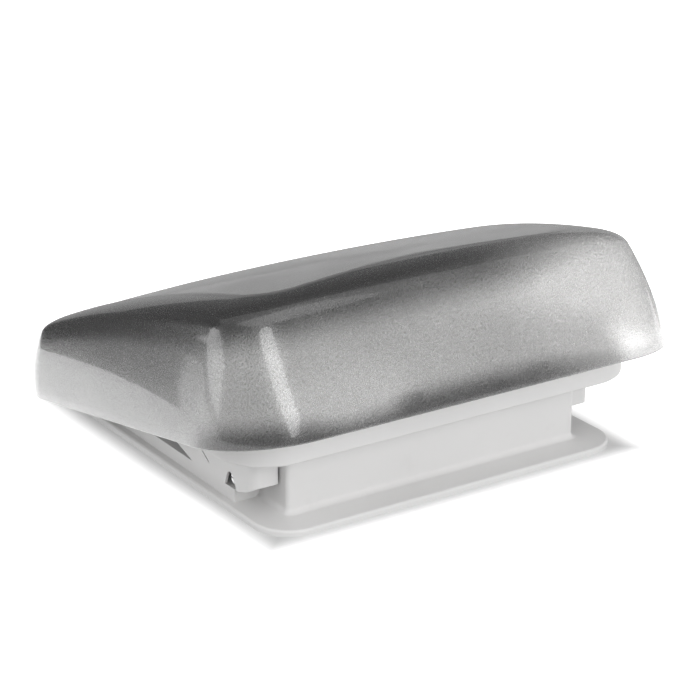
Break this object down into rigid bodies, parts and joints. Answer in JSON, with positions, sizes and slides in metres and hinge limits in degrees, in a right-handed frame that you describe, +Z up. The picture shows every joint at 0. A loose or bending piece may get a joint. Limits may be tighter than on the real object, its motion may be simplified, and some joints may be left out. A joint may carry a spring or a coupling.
{
  "type": "roof vent cover",
  "caption": "Square caravan roof vent with a smoked dome on a white lid frame, hinged low on side arms and raised by a worm-driven lift arm.",
  "frame": {"origin": "centre of the base flange's underside, on the roof, in the middle of the cut-out and of its four clamp holes", "axes": "+X along the hinge line, +Y from the hinge end to the low nose, +Z up out of the roof"},
  "size_m": [0.439, 0.4104, 0.1809],
  "materials": {
    "white_abs": "satin moulded white plastic with a fine texture",
    "smoked_acrylic": "smoke-tinted acrylic, frosted walls and a glossy top",
    "black_rubber": "matt cellular rubber",
    "grey_nylon": "plain moulded nylon",
    "grey_knob": "satin textured plastic",
    "screen_cloth": "woven glass-fibre fly screen",
    "zinc_steel": "zinc-plated steel"
  },
  "bodies": {
    "base": {"base_frame": "white_abs", "roof_gasket": "black_rubber", "curb_seal": "black_rubber", "pivot_bushes": "grey_nylon", "screen_frame": "white_abs", "screen_mesh": "screen_cloth", "screen_clips": "zinc_steel", "clip_screws": "zinc_steel", "drive_housing": "white_abs", "drive_cover": "white_abs", "housing_screws": "zinc_steel", "throat_cover": "white_abs", "cover_screws": "zinc_steel"},
    "lid": {"lid_frame": "white_abs", "dome": "smoked_acrylic", "right_hinge_arm": "white_abs", "left_hinge_arm": "white_abs", "hinge_pins": "zinc_steel", "pin_washers": "grey_nylon", "arm_screws": "zinc_steel", "dome_screws": "zinc_steel", "lift_bracket": "zinc_steel", "bracket_screws": "zinc_steel"},
    "lift_arm": {"lift_arm": "zinc_steel", "lift_pin": "zinc_steel", "arm_shaft": "zinc_steel", "shaft_clips": "zinc_steel", "worm_wheel": "grey_nylon"},
    "crank": {"worm_spindle": "zinc_steel", "crank_knob": "grey_knob", "knob_screw": "zinc_steel"}
  },
  "joints": [
    {"name": "lid_hinge", "type": "hinge", "parent": "base", "child": "lid", "pos_m": [0, -0.0995, 0.0265], "axis": [1, 0, 0], "range_deg": [0, 40]},
    {"name": "arm_swing", "type": "hinge", "parent": "base", "child": "lift_arm", "pos_m": [0, -0.07, 0.04], "axis": [1, 0, 0], "range_deg": [0, 47.05]},
    {"name": "crank_turn", "type": "hinge", "parent": "base", "child": "crank", "pos_m": [0.011, -0.0935, 0.0062], "axis": [0, 0, 1], "range_deg": [0, 1127]}
  ],
  "couplings": [
    {"joint": "arm_swing", "follows": "lid_hinge", "ratio": 1.1688},
    {"joint": "crank_turn", "follows": "lid_hinge", "ratio": 28.051}
  ]
}
